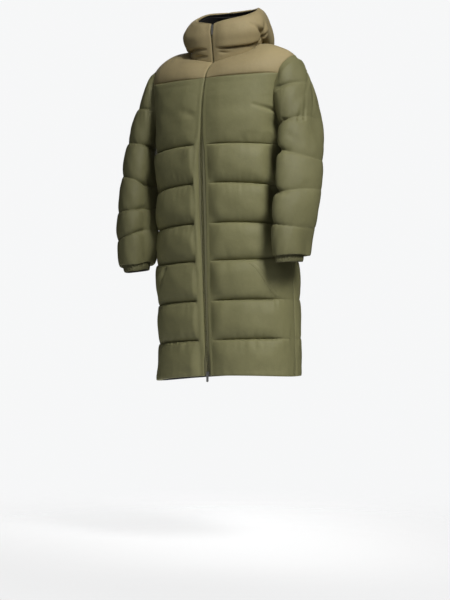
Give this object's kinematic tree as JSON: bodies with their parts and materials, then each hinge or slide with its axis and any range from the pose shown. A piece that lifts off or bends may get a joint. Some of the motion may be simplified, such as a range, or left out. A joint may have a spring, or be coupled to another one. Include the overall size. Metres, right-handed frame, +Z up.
{
  "type": "long hooded quilted puffer coat",
  "caption": "Over-knee quilted puffer coat in worn, hollow form: padded baffles, plain yoke, hood worn down as a collar, open neck, hem and cuffs, two-way front zip.",
  "frame": {"origin": "middle of the neck opening at the level of the shoulder line, where the wearer's shoulders carry the coat", "axes": "+Z up, +X the wearer's left, -Y the front with the zip"},
  "size_m": [0.7049, 0.3689, 1.2035],
  "materials": {
    "olive_shell": "fine dull weave, padded",
    "khaki_shell": "fine dull weave, padded",
    "olive_tape": "woven zip tape and coil",
    "black_lining": "smooth lining",
    "pull_metal": "dull metal"
  },
  "bodies": {
    "coat": {"back": "olive_shell", "cuff_left": "olive_shell", "cuff_right": "olive_shell", "front_left": "olive_shell", "front_right": "olive_shell", "hood_centre": "khaki_shell", "hood_lining": "black_lining", "hood_side_left": "khaki_shell", "hood_side_right": "khaki_shell", "pocket_welt_left": "olive_shell", "pocket_welt_right": "olive_shell", "sleeve_left": "olive_shell", "sleeve_right": "olive_shell", "slider_lower": "pull_metal", "slider_upper": "pull_metal", "yoke_back": "khaki_shell", "yoke_front_left": "khaki_shell", "yoke_front_right": "khaki_shell", "zip_chain": "olive_tape", "zip_tape_left": "olive_tape", "zip_tape_right": "olive_tape"},
    "pull_lower": {"pull_lower": "pull_metal"},
    "pull_upper": {"pull_upper": "pull_metal"}
  },
  "joints": [
    {"name": "lower_pull_swing", "type": "hinge", "parent": "coat", "child": "pull_lower", "pos_m": [0.0083, -0.15164, -1.0235], "axis": [-1, 0, 0], "range_deg": [0, 160]},
    {"name": "upper_pull_swing", "type": "hinge", "parent": "coat", "child": "pull_upper", "pos_m": [-0.00794, -0.08767, 0.07131], "axis": [-1, 0, 0], "range_deg": [0, 150]}
  ]
}
